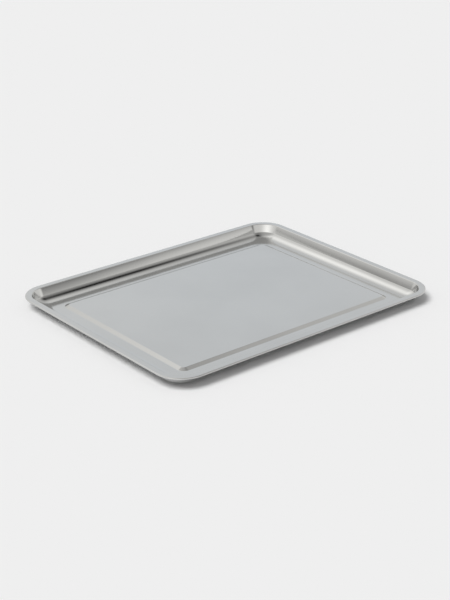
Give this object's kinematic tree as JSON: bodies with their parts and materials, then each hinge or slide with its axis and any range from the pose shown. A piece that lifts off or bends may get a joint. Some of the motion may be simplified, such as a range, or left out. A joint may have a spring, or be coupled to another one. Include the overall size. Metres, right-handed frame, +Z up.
{
  "type": "cookie sheet",
  "caption": "Shallow rectangular stamped steel baking tray with rounded corners, a flat flange whose edge is rolled over a wire, and a raised flat panel in its base.",
  "frame": {"origin": "on the resting plane, under the middle of the base", "axes": "+X along the long side, +Y along the short side, +Z up out of the tray"},
  "size_m": [0.4, 0.313, 0.015],
  "materials": {
    "stamped_sheet": "satin stainless steel with a faint rolled grain, glossier in the bends",
    "wire": "drawn wire, plain"
  },
  "bodies": {
    "root": {"tray_sheet": "stamped_sheet", "rim_wire": "wire"}
  },
  "joints": []
}
